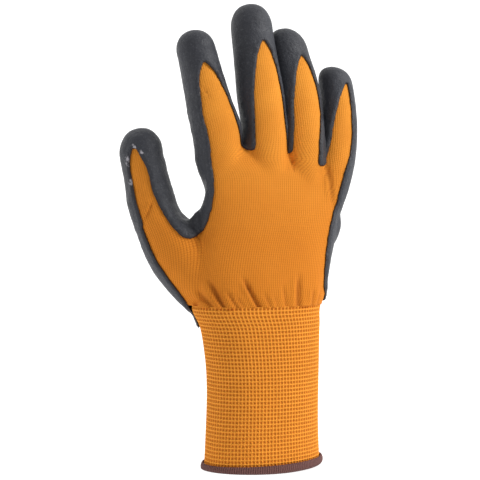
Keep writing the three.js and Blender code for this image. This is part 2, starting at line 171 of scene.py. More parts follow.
def loft(name, rings):
    """A closed form: a filled circle is extruded once for each ring, and its points are then put in place."""
    sides = len(rings[0])
    bpy.ops.object.select_all(action="DESELECT")
    bpy.ops.mesh.primitive_circle_add(vertices=sides, radius=1, fill_type="NGON")
    form = bpy.context.object
    form.name = name
    bpy.ops.object.mode_set(mode="EDIT")
    for _ in rings[1:]:
        bpy.ops.mesh.extrude_region_move(TRANSFORM_OT_translate={"value": (0, 0, 1)})
    bpy.ops.object.mode_set(mode="OBJECT")
    # A circle starts on +Y and runs round towards +X.
    for vertex in form.data.vertices:
        number = round(math.atan2(vertex.co.y, vertex.co.x) / (2 * math.pi / sides)) % sides
        vertex.co = rings[round(vertex.co.z)][number]
    bpy.ops.object.mode_set(mode="EDIT")
    bpy.ops.mesh.select_all(action="SELECT")
    bpy.ops.mesh.normals_make_consistent(inside=False)
    bpy.ops.object.mode_set(mode="OBJECT")
    return form


def spine(digit, rise):
    """The middle of a digit at shares of its rise, in metres."""
    rows = thumb_rows if digit is digits["thumb"] else finger_rows
    across, forward, up = digit["root"]
    climb, reach, curl, bow = (finger_length * share for share in digit["path"])
    at = through(rows[:, 0], rows[:, 1:3], rise)
    x = across * palm_width + reach * at[..., 0] + bow * np.sin(np.pi * np.asarray(rise))
    y = forward * palm_depth / 2 + curl * at[..., 1]
    z = cuff_length + up * palm_length + climb * np.asarray(rise)
    return np.stack([x, y, z], -1)


def digit_frame(digit, rise):
    """The middle, side, front and half sizes of a digit's sections at shares of its rise."""
    rise = np.asarray(rise, float)
    rows = thumb_rows if digit is digits["thumb"] else finger_rows
    step = 0.01
    along = spine(digit, np.minimum(rise + step, 1)) - spine(digit, np.maximum(rise - step, 0))
    along /= np.linalg.norm(along, axis=-1, keepdims=True)
    roll = math.radians(digit["roll"])
    flat = np.array([math.cos(roll), math.sin(roll), 0.0])
    side = flat - (along @ flat)[..., None] * along
    side /= np.linalg.norm(side, axis=-1, keepdims=True)
    front = np.cross(along, side)
    half = through(rows[:, 0], rows[:, 3:5], rise) * np.array(digit["size"]) * finger_width / 2
    return spine(digit, rise), along, side, front, half


def trunk_form(low, steps=44, sides=64, dome=7):
    """The palm and the top of the cuff, closed over the roots of the fingers."""
    top = trunk[-1, 0]
    crown = 0.12 * palm_depth
    rings = []
    for k in range(steps + dome):
        share = min(k / (steps - 1), 1)
        height = low + (top - low) * share
        x, y, half_wide, half_deep, turn, drop = trunk_at(height)
        angle = max(k - steps + 1, 0) / (dome + 0.4) * math.pi / 2
        shrink = 0.3 + 0.7 * math.cos(angle)
        side = np.array([math.cos(turn), math.sin(turn), 0.0])
        front = np.array([-side[1], side[0], 0.0])
        centre = np.array([x, y, height + crown * math.sin(angle)])
        points = ring(centre, side, front, half_wide * shrink, half_deep * shrink, sides, palm_squareness)
        points[:, 2] -= drop * ((points - centre) @ side) / half_wide
        rings.append(points)
    return loft("trunk", rings)


def digit_form(name, steps=26, sides=40, dome=9):
    """A finger or the thumb, from inside the palm to its blunt round tip."""
    digit = digits[name]
    last = 0.87 if name == "thumb" else 0.9
    centre, along, side, front, half = digit_frame(digit, np.linspace(0, last, steps))
    rings = [ring(centre[k], side[k], front[k], *half[k], sides, digit_squareness) for k in range(steps)]
    end = spine(digit, 1.0) - centre[-1]
    reach = np.linalg.norm(end)
    for step in range(1, dome + 1):
        angle = step / (dome + 0.35) * math.pi / 2
        middle = centre[-1] + end * math.sin(angle)
        sizes = half[-1] * math.cos(angle) ** 0.8
        rings.append(ring(middle, side[-1], front[-1], *sizes, sides, digit_squareness))
    return loft(name, rings)


def web_form(steps=20, sides=28):
    """The web between the thumb and the first finger."""
    table = through(-web_rows[:, 0], web_rows, np.linspace(0.26, 0.62, steps))
    forward = np.array([0.0, 1.0, 0.0])
    up = np.array([0.0, 0.0, 1.0])
    rings = []
    for across, y, z, tall, deep in table:
        centre = np.array([across * palm_width, y * palm_depth / 2, cuff_length + z * palm_length])
        rings.append(ring(centre, forward, up, deep * palm_depth / 2, tall * palm_length, sides, 2))
    return loft("web", rings)


def pad_form(steps=20, sides=28):
    """The pad of the palm below the little finger."""
    table = through(pad_rows[:, 2], pad_rows, np.linspace(0.12, 0.84, steps))
    side = np.array([1.0, 0.0, 0.0])
    front = np.array([0.0, 1.0, 0.0])
    rings = []
    for across, y, z, wide, deep in table:
        centre = np.array([across * palm_width, y * palm_depth / 2, cuff_length + z * palm_length])
        rings.append(ring(centre, side, front, wide * palm_width / 2, deep * palm_depth / 2, sides, 2))
    return loft("pad", rings)


# The parts of the hand are drawn as one skin, as the knit is.
forms = [trunk_form(0.045), web_form(), pad_form()] + [digit_form(name) for name in digits]
bpy.ops.object.select_all(action="DESELECT")
for form in forms:
    form.select_set(True)
bpy.context.view_layer.objects.active = forms[0]
bpy.ops.object.join()
hand_form = bpy.context.object
hand_form.name = "hand_form"


def finish_modifier(piece, kind, **settings):
    """Adds a modifier to a piece and applies it."""
    bpy.context.view_layer.objects.active = piece
    modifier = piece.modifiers.new(kind.lower(), kind)
    for key, value in settings.items():
        setattr(modifier, key, value)
    bpy.ops.object.modifier_apply(modifier=modifier.name)


finish_modifier(hand_form, "REMESH", mode="VOXEL", voxel_size=0.00095)
finish_modifier(hand_form, "SMOOTH", factor=0.5, iterations=12)


def points_of(piece):
    """A piece's points as an array."""
    flat = np.empty(3 * len(piece.data.vertices))
    piece.data.vertices.foreach_get("co", flat)
    return flat.reshape(-1, 3)


def normals_of(piece):
    """The outward direction at each of a piece's points."""
    flat = np.empty(3 * len(piece.data.vertices))
    piece.data.vertex_normals.foreach_get("vector", flat)
    return flat.reshape(-1, 3)


def place_points(piece, points):
    """Moves a piece's points."""
    piece.data.vertices.foreach_set("co", points.ravel())
    piece.data.update()


# Where each point of the hand lies on its digits: share of the rise, place across and forward of the spine.
def on_digit(name, points):
    """A point's share along a digit, and its place to the side and front of the spine, in metres."""
    shares = np.linspace(0, 1, 161)
    centre, along, side, front, half = digit_frame(digits[name], shares)
    nearest = np.empty(len(points), int)
    for start in range(0, len(points), 4000):
        part = points[start:start + 4000]
        gap = ((part[:, None, :] - centre[None, :, :]) ** 2).sum(-1)
        nearest[start:start + 4000] = gap.argmin(1)
    away = points - centre[nearest]
    slide = (away * along[nearest]).sum(-1)
    step = np.linalg.norm(centre[1] - centre[0])
    share = np.clip(shares[nearest] + slide / step / 160, 0, 1.2)
    across = (away * side[nearest]).sum(-1)
    forward = (away * front[nearest]).sum(-1)
    return share, across, forward, half[nearest]


# The smoothing draws the skin in a little. It goes back out, with a few soft swells where the hand fills it.
# Each swell: its middle, its reach, and how far it moves, in millimetres.
skin_growth = 0.00025
swells = [
    ((-34.0, 2.0, 153.0), 8.0, (-1.8, 0.0, 0.0)),
    ((-27.0, 3.0, 127.0), 6.0, (-1.9, 0.0, 0.0)),
    ((-28.0, 3.0, 140.0), 5.0, (1.0, 0.0, 0.0)),
    ((-43.0, 12.0, 127.0), 7.0, (-2.7, 0.0, -0.6)),
    ((-38.5, 9.0, 126.5), 5.0, (0.0, 0.0, -1.8)),
    ((-27.5, 6.0, 184.0), 13.0, (1.0, 0.0, 0.0)),
    ((-40.0, 9.0, 202.0), 14.0, (1.5, 0.0, 0.0)),
    ((-11.0, 3.0, 172.0), 9.0, (2.0, 0.0, 0.0)),
    ((36.0, 2.0, 90.0), 12.0, (-2.0, 0.0, 0.0)),
    ((-46.0, 14.0, 88.0), 9.0, (1.1, 0.0, 0.0)),
    ((-61.0, 18.0, 146.0), 9.0, (1.0, 0.0, 0.0)),
    ((-33.0, 4.0, 158.0), 12.0, (0.6, 0.0, 0.0)),
    ((36.0, 2.0, 88.0), 6.0, (-0.8, 0.0, 0.0)),
    ((-36.0, 5.0, 84.0), 10.0, (1.5, 0.0, 0.0)),
    ((27.0, 12.0, 192.0), 14.0, (1.6, 0.0, 0.0)),
    ((37.0, 4.0, 122.0), 12.0, (0.6, 0.0, 0.0)),
    ((16.5, 18.0, 217.0), 7.0, (-1.0, 0.0, 1.0)),
    ((40.5, 19.0, 198.0), 6.0, (-1.3, 0.0, 1.2)),
]
skin = points_of(hand_form)
skin += normals_of(hand_form) * skin_growth
for middle, reach, move in swells:
    away = np.linalg.norm(skin * 1000 - middle, axis=1) / reach
    skin += np.exp(-(away ** 2))[:, None] * np.array(move) / 1000
place_points(hand_form, skin)
outward = normals_of(hand_form)
place = {name: on_digit(name, skin) for name in digits}


def round_trunk(points):
    """A point's angle round the palm or cuff, from the middle of the back, and its section's half sizes."""
    x, y, half_wide, half_deep, turn, drop = trunk_at(points[:, 2]).T
    away_x = points[:, 0] - x
    away_y = points[:, 1] - y
    across = away_x * np.cos(turn) + away_y * np.sin(turn)
    forward = away_y * np.cos(turn) - away_x * np.sin(turn)
    return np.arctan2(across / half_wide, -forward / half_deep), half_wide, half_deep


# The share of an oval's half girth that lies within an angle of its middle, for ovals from flat to round.
oval_angles = np.linspace(0, np.pi, 181)
oval_depths = np.linspace(0.05, 1.2, 24)
oval_steps = np.sqrt(np.cos(oval_angles) ** 2 + (oval_depths[:, None] * np.sin(oval_angles)) ** 2)
oval_girth = np.cumsum((oval_steps[:, 1:] + oval_steps[:, :-1]) / 2, 1)
oval_girth = np.concatenate([np.zeros((24, 1)), oval_girth], 1)
oval_share = oval_girth / oval_girth[:, -1:]


def round_the_oval(angle, half_wide, half_deep):
    """How far round an oval section an angle is, in metres from the middle of its back."""
    depth = np.clip((half_deep / half_wide - 0.05) / 0.05, 0, 22.99)
    turn = np.clip(np.abs(angle) / np.pi * 180, 0, 179.99)
    i, j = depth.astype(int), turn.astype(int)
    a, b = depth - i, turn - j
    share = (oval_share[i, j] * (1 - a) * (1 - b) + oval_share[i + 1, j] * a * (1 - b)
             + oval_share[i, j + 1] * (1 - a) * b + oval_share[i + 1, j + 1] * a * b)
    girth = np.pi * (3 * (half_wide + half_deep)
                     - np.sqrt((3 * half_wide + half_deep) * (half_wide + 3 * half_deep)))
    return np.sign(angle) * share * girth / 2


# The stitches run up the hand in wales. They fan out over the palm and turn into each finger.
trunk_angle, trunk_wide, trunk_deep = round_trunk(skin)
wale = round_the_oval(trunk_angle, trunk_wide, trunk_deep)
course = skin[:, 2].copy()
for name, digit in digits.items():
    share, across, forward, half = place[name]
    radius = np.sqrt((across / half[:, 0]) ** 2 + (forward / half[:, 1]) ** 2)
    joins = (0.1, 0.5) if name == "thumb" else (0.24, 0.46)
    belongs = ease(*joins, share) * (1 - ease(1.15, 1.5, radius))
    start = spine(digit, joins[1])
    angle = np.arctan2(across / half[:, 0], -forward / half[:, 1])
    own_wale = start[0] - trunk_at(start[2])[0] + round_the_oval(angle, half[:, 0], half[:, 1])
    own_course = start[2] + (share - joins[1]) * np.linalg.norm(spine(digit, 1.0) - spine(digit, 0.0))
    wale = wale * (1 - belongs) + own_wale * belongs
    course = course * (1 - belongs) + own_course * belongs


def wander(points, scale, seed=0.0):
    """Smooth noise from -1 to 1 at each point, with waves of about one over the scale."""
    shift = Vector((seed, 1.7 * seed, -seed))
    return np.array([noise.noise(Vector(point) * scale + shift) for point in points])


# The knit is drawn in where the rib grips it, in soft pleats and a few deeper creases. The last four creases
# are folds on the thumb, on the first finger, below the little finger and between two knuckles.
# Each crease: start and end, across and up in metres, its depth and its half width. All are on the back.
creases = [
    (-0.0305, 0.0945, -0.0245, 0.0815, 0.0016, 0.0011),
    (-0.0145, 0.0955, -0.0075, 0.081, 0.0016, 0.001),
    (0.0055, 0.0915, 0.0065, 0.082, 0.0007, 0.0009),
    (0.0145, 0.096, 0.013, 0.081, 0.0012, 0.0014),
    (-0.0225, 0.0895, -0.0185, 0.0815, 0.0008, 0.0009),
    (-0.0185, 0.0875, -0.015, 0.0815, 0.0006, 0.0008),
    (-0.0045, 0.0885, -0.002, 0.0815, 0.0007, 0.0008),
    (0.0005, 0.0875, 0.0015, 0.0815, 0.0005, 0.0008),
    (0.0225, 0.0895, 0.0215, 0.0815, 0.0007, 0.001),
    (0.0275, 0.0885, 0.0255, 0.0815, 0.0005, 0.0008),
    (-0.0345, 0.0895, -0.0295, 0.0815, 0.0009, 0.0009),
    (-0.0543, 0.1335, -0.0568, 0.1265, 0.0007, 0.0006),
    (-0.0303, 0.1895, -0.028, 0.1855, 0.0005, 0.0006),
    (0.0346, 0.151, 0.0368, 0.136, 0.0008, 0.0012),
    (0.0152, 0.155, 0.0156, 0.1495, 0.0006, 0.0008),
]
on_back = ease(0, 0.2, back_view[1] * outward[:, 0] - back_view[0] * outward[:, 1])
deepest = 0.0016
pleat_count = 10
pleat_depth = 0.00035
relief = np.zeros(len(skin))
crease_shade = np.zeros(len(skin))
grip = ease(0.104, 0.084, skin[:, 2]) * ease(0.072, 0.082, skin[:, 2])
relief += pleat_depth * grip * np.cos(pleat_count * trunk_angle + 2 * wander(skin, 60))
for x0, z0, x1, z1, depth, half_width in creases:
    length = math.hypot(x1 - x0, z1 - z0)
    along = ((skin[:, 0] - x0) * (x1 - x0) + (skin[:, 2] - z0) * (z1 - z0)) / length ** 2
    aside = ((skin[:, 0] - x0) * (z1 - z0) - (skin[:, 2] - z0) * (x1 - x0)) / length
    fades = ease(-0.25, 0.35, along) * ease(1.5, 0.9, along)
    valley = np.exp(-((aside / half_width) ** 2))
    ridge = np.exp(-(((aside - 2.1 * half_width) / half_width) ** 2))
    relief -= depth * (valley - 0.45 * ridge) * fades * on_back
    # The crease share darkens the knit's colour there: painted shade.
    crease_shade += depth / deepest * valley * fades * on_back
relief += 0.00012 * wander(skin, 90, 5)
skin += outward * relief[:, None]
place_points(hand_form, skin)
outward = normals_of(hand_form)


class Wire:
    """A socket of a material. Python's operators on wires and numbers add its Math nodes."""

    def __init__(self, finish, socket):
        self.finish = finish
        self.socket = socket

    def maths(self, operation, *values):
        return self.finish.node("ShaderNodeMath", {"operation": operation}, dict(enumerate(values)))

    def __add__(self, other):
        return self.maths("ADD", self, other)

    def __sub__(self, other):
        return self.maths("SUBTRACT", self, other)

    def __rsub__(self, other):
        return self.maths("SUBTRACT", other, self)

    def __mul__(self, other):
        return self.maths("MULTIPLY", self, other)

    def __truediv__(self, other):
        return self.maths("DIVIDE", self, other)

    def __pow__(self, other):
        return self.maths("POWER", self, other)

    __radd__ = __add__
    __rmul__ = __mul__

    def sine(self):
        return self.maths("SINE", self)

    def cosine(self):
        return self.maths("COSINE", self)

    def size(self):
        return self.maths("ABSOLUTE", self)

    def least(self, other):
        return self.maths("MINIMUM", self, other)

    def most(self, other):
        return self.maths("MAXIMUM", self, other)


def socket_name(word):
    """The shader's own name for a socket, from a plain word for it."""
    return word.replace("_", " ").title().replace("Ior", "IOR")


class Finish:
    """A material and the nodes in it."""

    def __init__(self, name, **shader):
        self.material = bpy.data.materials.new(name)
        self.material.use_nodes = True
        self.tree = self.material.node_tree
        self.shader = self.tree.nodes["Principled BSDF"]
        for socket, value in shader.items():
            self.shader.inputs[socket_name(socket)].default_value = value

    def node(self, kind, settings, sockets, out=0):
        """Adds a node: its settings first, then the values or links of its sockets. Gives one output."""
        made = self.tree.nodes.new(kind)
        for key, value in settings.items():
            if key == "ramp":
                ramp = made.color_ramp
                while len(ramp.elements) < len(value):
                    ramp.elements.new(0.5)
                for element, (position, colour) in zip(ramp.elements, value):
                    element.position = position
                    element.color = colour
            else:
                setattr(made, key, value)
        for key, value in sockets.items():
            if isinstance(value, Wire):
                self.tree.links.new(value.socket, made.inputs[key])
            else:
                made.inputs[key].default_value = value
        return Wire(self, made.outputs[out])

    def mix(self, share, low, high):
        """A colour between two others."""
        settings = {"data_type": "RGBA"}
        return self.node("ShaderNodeMix", settings, {0: share, 6: low, 7: high}, out=2)

    def noise(self, place, scale, detail=2.0, roughness=0.5):
        sockets = {"Vector": place, "Scale": scale, "Detail": detail, "Roughness": roughness}
        return self.node("ShaderNodeTexNoise", {}, sockets)

    def bump(self, height, distance, strength=1.0):
        sockets = {"Height": height, "Distance": distance, "Strength": strength}
        return self.node("ShaderNodeBump", {}, sockets)

    def feed(self, **wires):
        """Links wires to the shader's own sockets."""
        for socket, wire in wires.items():
            self.tree.links.new(wire.socket, self.shader.inputs[socket_name(socket)])

    def here(self):
        return self.node("ShaderNodeTexCoord", {}, {}, out="Object")

    def stitches(self):
        """The place on the knit, round it and up it, and the painted shade in a crease."""
        vector = self.node("ShaderNodeAttribute", {"attribute_name": "stitch"}, {}, out="Vector")
        parts = self.tree.nodes.new("ShaderNodeSeparateXYZ")
        self.tree.links.new(vector.socket, parts.inputs[0])
        return [Wire(self, output) for output in parts.outputs]


def stitch_places(piece, around, up, crease_shade=0.0):
    """Keeps each point's place on the knit with the faces round it, and how deep it lies in a crease, as painted
    shade.
    """
    corners = np.empty(len(piece.data.loops), int)
    piece.data.loops.foreach_get("vertex_index", corners)
    places = np.stack([around, up, crease_shade + np.zeros(len(up))], 1)[corners]
    layer = piece.data.attributes.new("stitch", "FLOAT_VECTOR", "CORNER")
    layer.data.foreach_set("vector", places.ravel())


def copy_of(piece, name):
    """A second piece with its own mesh."""
    twin = piece.copy()
    twin.data = piece.data.copy()
    twin.name = name
    bpy.context.collection.objects.link(twin)
    bpy.ops.object.select_all(action="DESELECT")
    twin.select_set(True)
    bpy.context.view_layer.objects.active = twin
    return twin


def cut_below(piece, height):
    """Cuts a piece off at a height and leaves it open there."""
    bpy.ops.object.select_all(action="DESELECT")
    piece.select_set(True)
    bpy.context.view_layer.objects.active = piece
    bpy.ops.object.mode_set(mode="EDIT")
    bpy.ops.mesh.select_all(action="SELECT")
    bpy.ops.mesh.bisect(plane_co=(0, 0, height), plane_no=(0, 0, 1), clear_inner=True)
    bpy.ops.object.mode_set(mode="OBJECT")


def smooth_shade(piece):
    bpy.ops.object.select_all(action="DESELECT")
    piece.select_set(True)
    bpy.context.view_layer.objects.active = piece
    bpy.ops.object.shade_smooth()


stitch_places(hand_form, wale, course, crease_shade)
knitted_hand = copy_of(hand_form, "knitted_hand")
cut_below(knitted_hand, cuff_length - 0.0002)
finish_modifier(knitted_hand, "SOLIDIFY", thickness=knit_wall, offset=-1, use_even_offset=False)
smooth_shade(knitted_hand)

orange_knit = Finish("orange_knit", roughness=0.85, specular_ior_level=0.15)
around, up, painted_crease_shade = orange_knit.stitches()
wale_pitch = 0.00112
course_pitch = 0.00085
# Each stitch is a small V: two leaning legs in each wale, stacked in courses. Higher up, over the fingers, the
# knit is painted lighter: painted light.
legs = (around * (math.pi / wale_pitch)).sine().size()
rows = (up * (2 * math.pi / course_pitch) + legs * 2.4).sine()
stitch_height = legs ** 0.6 * 0.8 + rows * 0.2
bump = orange_knit.bump(stitch_height, 0.0003, 0.6)
here = orange_knit.here()
cloud = orange_knit.noise(here, 70.0, 3.0)
streak = orange_knit.noise(here, 26.0, 2.0)
# Painted shade: the yarn is painted darker in the gaps between the stitch legs, where shade falls, and lighter on
# the legs.
thread = orange_knit.mix(stitch_height * 1.1 - 0.1, (0.52, 0.145, 0.011, 1), (0.88, 0.31, 0.029, 1))
# Painted light: above the palm the knit's colour is lighter, standing for the stronger light on the fingers.
tall = orange_knit.node("ShaderNodeSeparateXYZ", {}, {0: here}, out=2)
rising = {0: tall, 1: 0.115, 2: 0.185, 3: 0.0, 4: 0.62}
painted_top_light = orange_knit.node("ShaderNodeMapRange", {"clamp": True}, rising)
light = orange_knit.mix(painted_top_light, thread, (0.98, 0.42, 0.055, 1))
tinted = orange_knit.mix(cloud * 0.5 + streak * 0.25, light, (0.58, 0.168, 0.013, 1))
# Painted shade: the knit's colour is darkened in the creases, where shade falls.
shaded = orange_knit.mix((painted_crease_shade * 0.55).least(0.6), tinted, (0.20, 0.045, 0.006, 1))
orange_knit.feed(base_color=shaded, normal=bump)
knitted_hand.data.materials.clear()
knitted_hand.data.materials.append(orange_knit.material)
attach(knitted_hand, "root")
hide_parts("knit_palm", "knit_index", "knit_middle", "knit_ring", "knit_little", "knit_thumb")


# The ribbed cuff. The real one is the same yarn with elastic laid in, knitted as a tight grid of raised ribs
# and courses with a small hollow in each mesh; the hollows are painted darker, as painted shade. It grips the
# wrist and is knitted on to the hand.
rib_count = 92
course_count = 42
rib_depth = 0.0005


def cuff_point(angle, height, grow):
    """A point of the cuff's surface at an angle from the middle of its back, grown outwards."""
    x, y, half_wide, half_deep, turn, drop = trunk_at(height).T
    across = np.sin(angle) * (half_wide + grow)
    forward = -np.cos(angle) * (half_deep + grow)
    spot = np.stack([x + across, y + forward, height], -1)
    spot[..., 2] -= drop * across / half_wide
    return spot


def cuff_angle(share):
    """The angle at a share of the cuff's girth, from -0.5 to 0.5 round from the middle of its back."""
    return np.sign(share) * np.interp(2 * np.abs(share), oval_share[14], oval_angles)


def cuff_wall(name, ribs, rows, low, high, surface):
    """A tube: a flat grid is rolled round the wrist, and its first and last columns are joined."""
    bpy.ops.object.select_all(action="DESELECT")
    bpy.ops.mesh.primitive_grid_add(x_subdivisions=ribs, y_subdivisions=rows, size=2)
    wall = bpy.context.object
    wall.name = name
    flat = points_of(wall)
    around = flat[:, 0] / 2
    share = (flat[:, 1] + 1) / 2
    place_points(wall, surface(around, share, low + (high - low) * share))
    stitch_places(wall, around, share)
    bpy.ops.object.mode_set(mode="EDIT")
    bpy.ops.mesh.select_all(action="SELECT")
    bpy.ops.mesh.remove_doubles(threshold=0.00001)
    bpy.ops.object.mode_set(mode="OBJECT")
    return wall


def ribbed(around, share, height):
    rib = 0.5 + 0.5 * np.cos(around * rib_count * 2 * math.pi)
    row = 0.5 + 0.5 * np.cos(share * course_count * 2 * math.pi)
    hollow = (1 - 0.85 * rib ** 1.5) * (1 - row ** 1.5)
    return cuff_point(cuff_angle(around), height, 0.0001 - rib_depth * hollow)


def plain_inside(around, share, height):
    return cuff_point(cuff_angle(around), height, -knit_wall)


cuff_low = 0.0015
cuff_high = cuff_length
ribbed_cuff = cuff_wall("ribbed_cuff", rib_count * 4, course_count * 4, cuff_low, cuff_high, ribbed)
inside = cuff_wall("cuff_inside", rib_count, 30, cuff_low, cuff_high, plain_inside)
bpy.ops.object.mode_set(mode="EDIT")
bpy.ops.mesh.select_all(action="SELECT")
bpy.ops.mesh.flip_normals()
bpy.ops.object.mode_set(mode="OBJECT")
bpy.ops.object.select_all(action="DESELECT")
inside.select_set(True)
ribbed_cuff.select_set(True)
bpy.context.view_layer.objects.active = ribbed_cuff
bpy.ops.object.join()
edge = bmesh.new()
edge.from_mesh(ribbed_cuff.data)
for rim in (1, -1):
    loops = [e for e in edge.edges if e.is_boundary and (e.verts[0].co.z - 0.04) * rim > 0]
    bmesh.ops.bridge_loops(edge, edges=loops)
bmesh.ops.recalc_face_normals(edge, faces=edge.faces)
edge.to_mesh(ribbed_cuff.data)
edge.free()
smooth_shade(ribbed_cuff)

orange_rib = Finish("orange_rib", roughness=0.85, specular_ior_level=0.15)
around, up, _ = orange_rib.stitches()
rib = (around * (2 * math.pi * rib_count)).cosine() * 0.5 + 0.5
row = (up * (2 * math.pi * course_count)).cosine() * 0.5 + 0.5
hollow = (1 - rib ** 2.2 * 0.8) * (1 - row ** 2.2)
cloud = orange_rib.noise(orange_rib.here(), 90.0, 3.0)
# Painted shade: the colour is darker in the hollows and lighter on the ridges, where shade and light fall.
yarn = orange_rib.mix(hollow ** 1.5, (0.98, 0.375, 0.042, 1), (0.50, 0.130, 0.010, 1))
tinted = orange_rib.mix(cloud * 0.4, yarn, (0.60, 0.180, 0.016, 1))
orange_rib.feed(base_color=tinted, normal=orange_rib.bump(hollow * -1.0, 0.0006, 0.8))
ribbed_cuff.data.materials.clear()
ribbed_cuff.data.materials.append(orange_rib.material)
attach(ribbed_cuff, "root")
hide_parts("rib_cuff")


# The hem. The real one is the cuff's raw edge, oversewn with a thick brown elastic thread. The stitches wrap the
# edge from the outside to the inside, so the band is round and a little proud of the rib on both faces.
stitch_count = 150
stitch_lean = 5
# The band's section: how far out from the cuff's face and how far up each point lies.
hem_path = np.array([
    (0.0003, 0.0042), (0.0009, 0.0043), (0.0014, 0.0034), (0.0016, 0.0022), (0.0013, 0.0009),
    (0.0004, 0.0), (-0.0007, -0.0003), (-0.0018, 0.0), (-0.0027, 0.0009), (-0.003, 0.0022),
    (-0.0028, 0.0034), (-0.0023, 0.0043), (-0.0017, 0.0042), (-0.0017, 0.0012), (0.0003, 0.0012),
    (0.0003, 0.0042),
])
hem_middle = (-0.0007, 0.002)
hem_turns = 30


def hem_point(around, share, height):
    angle = cuff_angle(around)
    offset, up = through(np.linspace(0, 1, len(hem_path)), hem_path, share).T
    wrap = 0.5 + 0.5 * np.cos(around * stitch_count * 2 * math.pi + share * stitch_lean)
    outer = ease(0.0, 0.08, share) * ease(0.82, 0.74, share)
    swell = 1 + 0.08 * (wrap - 0.5) * outer
    offset = hem_middle[0] + (offset - hem_middle[0]) * swell
    up = hem_middle[1] + (up - hem_middle[1]) * swell
    spot = cuff_point(angle, np.zeros_like(angle), offset)
    spot[:, 2] += up
    return spot


overlock_hem = cuff_wall("overlock_hem", stitch_count * 4, hem_turns, 0, 1, hem_point)
bpy.ops.object.mode_set(mode="EDIT")
bpy.ops.mesh.select_all(action="SELECT")
bpy.ops.mesh.normals_make_consistent(inside=False)
bpy.ops.object.mode_set(mode="OBJECT")
smooth_shade(overlock_hem)
brown_thread = Finish("brown_thread", roughness=0.75, specular_ior_level=0.3)
around, up, _ = brown_thread.stitches()
turns = around * (2 * math.pi * stitch_count) + up * stitch_lean
wrap = turns.cosine() * 0.5 + 0.5
fibre = brown_thread.noise(brown_thread.here(), 900.0, 3.0)
# Painted shade: the thread is painted darker in the grooves between its turns and lighter on them; the fibre
# noise is its own tone.
brown_thread.feed(
    base_color=brown_thread.mix(wrap * 0.6 + fibre * 0.4, (0.06, 0.022, 0.02, 1), (0.19, 0.085, 0.075, 1)),
    normal=brown_thread.bump(wrap + fibre * 0.5, 0.0002, 0.5),
)
overlock_hem.data.materials.clear()
overlock_hem.data.materials.append(brown_thread.material)
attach(overlock_hem, "root")
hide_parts("hem_overlock")


# The coating. The real one is a charcoal latex film that the palm side of the finished knit is dipped in. It
# wraps round the fingers' sides and over their tips, and its rim on the back is thin, wavy and a little proud.
coat_gap = 0.0002
coat_wall = 0.0009
coat_overlap = 0.012
# The rims of the bare back. The arc below the thumb's web: its middle, across and up, and radius.
web_rim = (-0.0392, 0.126, 0.011)
# The coated strip between the last two fingers: place across, bottom, top and half width in millimetres.
little_fork = (30.3, 150.8, 178, 2.2)
fork_lean = 0.05
# The place across at each height, in millimetres, on the thumb's side up to the web's arc, on the first
# finger's side above it, and on the little finger's side.
thumb_side = np.array([
    (68, -34), (74, -32.7), (79, -35), (84, -37.8), (89, -41.2), (94, -44.8), (99, -48.4), (104, -51.6),
    (109, -54.2), (114, -56.3), (118, -57.8), (122, -58.8),
])
index_side = np.array([
    (100, -29), (118, -29), (124, -26.5), (128, -25), (138, -23.5), (144, -23.4), (156, -25),
])
little_side = np.array([
    (68, 32.5), (84, 32), (90, 30.8), (96, 31), (102, 31.4), (108, 32), (114, 32.7), (120, 34), (124, 35),
    (128, 36), (132, 37.4), (138, 39.1), (144, 40.6), (150, 42.4), (156, 44.4), (162, 45.4), (168, 45.8),
    (174, 45.7), (180, 45.4), (186, 44.8), (192, 43.8), (200, 42.6),
])
# The bare stripe on a digit's back: share of its rise and half width, as a share of the digit's.
finger_stripe = np.array([
    (0.05, 1.0), (0.3, 0.98), (0.45, 0.88), (0.58, 0.78), (0.68, 0.6), (0.76, 0.38), (0.82, 0.06),
])
thumb_stripe = np.array([
    (0.05, 0.5), (0.12, 0.6), (0.2, 0.7), (0.32, 0.86), (0.45, 0.64), (0.65, 0.46), (0.8, 0.4), (0.9, 0.1),
])
# How far each stripe leans at its root and lies to the side, and how much its table is stretched.
stripe_shift = {
    "index": (0.28, 0.0, 1.0),
    "middle": (0.03, 0.08, 1.0),
    "ring": (-0.27, 0.15, 1.04),
    "little": (-0.26, 0.02, 1.1),
    "thumb": (0.13, 0.0, 1.0),
}


def bare_on_digit(name):
    """How far each point lies outside a digit's bare stripe, in metres: less than 0 is bare."""
    share, across, forward, half = place[name]
    lean, offset, stretch = stripe_shift[name]
    stripe = thumb_stripe if name == "thumb" else finger_stripe
    width, depth = (size * finger_width for size in digits[name]["size"])
    half_stripe = through(stripe[:, 0], stripe[:, 1:], share / stretch)[:, 0] * width / 2
    aside = (across - (offset + lean * (1 - share)) * width) / half_stripe
    deep = (forward + depth / 2) / (depth / 2 + 0.001)
    inside = (np.sqrt(aside ** 2 + deep ** 2) - 1) * half_stripe
    past = (share - stripe[-1, 0] * stretch) * finger_length
    below = ((0.1 if name == "little" else 0.02) - share) * finger_length
    return np.maximum(np.maximum(inside, past), below)


sideways = (back_view[0] * skin[:, 0] + back_view[1] * skin[:, 1]) * 1000
height = skin[:, 2] * 1000
turned_away = 6 * (0.08 - back_view[1] * outward[:, 0] + back_view[0] * outward[:, 1])


def between(low_side, high_side, bottom, top):
    """How far outside two rims, two heights and the back of the hand each point lies, in millimetres."""
    low = np.interp(height, low_side[:, 0], low_side[:, 1])
    high = np.interp(height, high_side[:, 0], high_side[:, 1])
    across = np.maximum(low - sideways, sideways - high)
    return np.maximum(np.maximum(across, turned_away), np.maximum(bottom - height, height - top))


